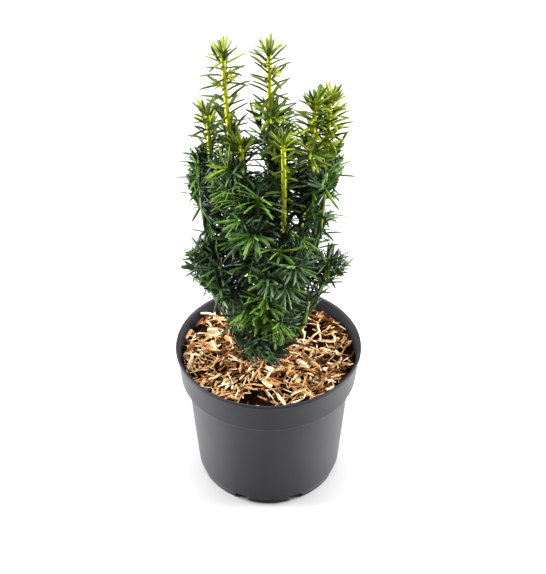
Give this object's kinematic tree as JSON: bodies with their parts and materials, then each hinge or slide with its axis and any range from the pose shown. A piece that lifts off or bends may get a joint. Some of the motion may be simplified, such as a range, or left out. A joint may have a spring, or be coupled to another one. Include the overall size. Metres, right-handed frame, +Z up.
{
  "type": "potted english yew",
  "caption": "Young upright evergreen shrub in a round nursery pot, with slim rising boughs, whorls of flat narrow needles and shredded wood over its soil.",
  "frame": {"origin": "centre of the flat foot that the pot stands on, at the middle of the whole plant's base", "axes": "+Z up along the plant's height, -Y towards the side that the picture shows"},
  "size_m": [0.17, 0.17, 0.453],
  "materials": {
    "pot": "satin dark grey moulded plastic",
    "soil": "dark moist potting soil",
    "mulch": "dry shredded wood",
    "bark": "thin brown bark",
    "needles": "satin dark green needles"
  },
  "bodies": {
    "root": {"bough_back_left": "bark", "bough_back_middle": "bark", "bough_back_right": "bark", "bough_front_bottom": "bark", "bough_front_bright": "bark", "bough_front_leader": "bark", "bough_front_left": "bark", "bough_front_middle": "bark", "bough_front_right_low": "bark", "bough_front_upper": "bark", "bough_inner_left": "bark", "bough_left_high": "bark", "bough_left_leader": "bark", "bough_left_low": "bark", "bough_left_short": "bark", "bough_right_leader": "bark", "bough_right_low": "bark", "bough_right_middle": "bark", "bough_right_outer": "bark", "foliage_back_left": "needles", "foliage_back_middle": "needles", "foliage_back_right": "needles", "foliage_front_bottom": "needles", "foliage_front_bright": "needles", "foliage_front_leader": "needles", "foliage_front_left": "needles", "foliage_front_middle": "needles", "foliage_front_right_low": "needles", "foliage_front_upper": "needles", "foliage_inner_left": "needles", "foliage_left_high": "needles", "foliage_left_leader": "needles", "foliage_left_low": "needles", "foliage_left_short": "needles", "foliage_middle_leader": "needles", "foliage_right_leader": "needles", "foliage_right_low": "needles", "foliage_right_middle": "needles", "foliage_right_outer": "needles", "pot": "pot", "soil": "soil", "trunk": "bark", "wood_mulch": "mulch"}
  },
  "joints": []
}
